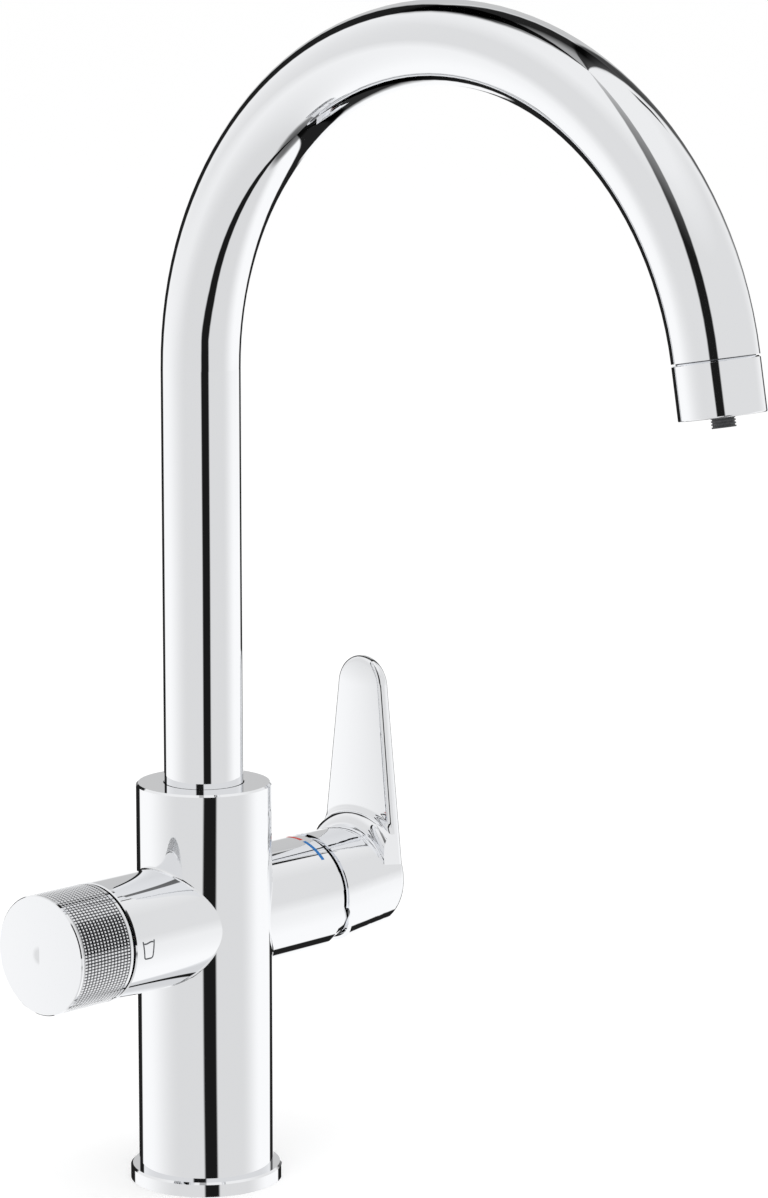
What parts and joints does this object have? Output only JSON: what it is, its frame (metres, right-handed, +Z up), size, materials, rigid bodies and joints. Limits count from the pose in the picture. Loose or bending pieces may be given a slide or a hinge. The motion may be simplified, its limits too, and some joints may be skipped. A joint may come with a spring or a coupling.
{
  "type": "kitchen mixer tap with filtered water",
  "caption": "Tall kitchen mixer tap with a round swivelling swan-neck spout, an upright side lever for hot and cold water, and a knurled side knob for filtered water.",
  "frame": {"origin": "centre of the tap's underside on the worktop, on the column's axis", "axes": "+Z up along the column, the spout points to -Y at rest, the mixer lever is at +X and the filtered water knob at -X"},
  "size_m": [0.161, 0.2663, 0.411],
  "materials": {
    "chrome": "polished chrome plating",
    "brass": "machined",
    "rubber": "moulded black rubber",
    "ceramic": "lapped alumina",
    "steel": "stainless steel",
    "white_plastic": "moulded white plastic",
    "hose_plastic": "smooth pale hose",
    "dark_plastic": "moulded dark grey plastic"
  },
  "bodies": {
    "tap_body": {"base_ring": "chrome", "base_gasket": "rubber", "base_block": "brass", "block_seals": "rubber", "column": "chrome", "slide_washer": "white_plastic", "lock_screw": "steel", "hose_fitting": "brass", "valve_seal": "rubber", "valve_body": "brass", "spindle_seal": "rubber", "valve_fixed_disc": "ceramic", "cartridge_seals": "rubber", "cartridge_housing": "white_plastic", "mixer_fixed_disc": "ceramic", "retaining_nut": "brass", "cartridge_cover": "chrome"},
    "spout": {"spout_tube": "chrome", "spout_nipple": "brass", "spout_seals": "rubber", "filtered_hose": "hose_plastic", "outlet_sleeve": "chrome", "outlet_joiner": "brass", "aerator_seal": "rubber", "aerator": "white_plastic", "filtered_nozzle": "dark_plastic"},
    "filter_knob": {"valve_moving_disc": "ceramic", "valve_spindle": "brass", "spindle_clip": "steel", "knob_shell": "chrome", "knurled_sleeve": "chrome", "knob_face": "chrome", "knob_hub": "white_plastic", "knob_screw": "steel"},
    "mixer_turret": {"turret": "white_plastic", "pivot_pin": "steel"},
    "mixer_lever": {"lever": "chrome", "lever_stem": "steel", "grub_screw": "steel", "grub_plug": "dark_plastic"},
    "mixing_disc": {"mixer_moving_disc": "ceramic", "disc_holder": "white_plastic"}
  },
  "joints": [
    {"name": "spout_swivel", "type": "hinge", "parent": "tap_body", "child": "spout", "pos_m": [0, 0, 0.132], "axis": [0, 0, 1], "range_deg": [-75, 75]},
    {"name": "filter_knob_turn", "type": "hinge", "parent": "tap_body", "child": "filter_knob", "pos_m": [-0.065, 0, 0.0933], "axis": [1, 0, 0], "range_deg": [0, 90]},
    {"name": "lever_turn", "type": "hinge", "parent": "tap_body", "child": "mixer_turret", "pos_m": [0.052, 0, 0.0933], "axis": [1, 0, 0], "range_deg": [-45, 45]},
    {"name": "lever_tilt", "type": "hinge", "parent": "mixer_turret", "child": "mixer_lever", "pos_m": [0.052, 0, 0.0933], "axis": [0, 1, 0], "range_deg": [0, 25]},
    {"name": "disc_slide", "type": "slide", "parent": "mixer_turret", "child": "mixing_disc", "axis": [0, 0, 1], "range_m": [0, 0.00626]}
  ],
  "couplings": [
    {"joint": "disc_slide", "follows": "lever_tilt", "m_per_rad": 0.013889}
  ]
}
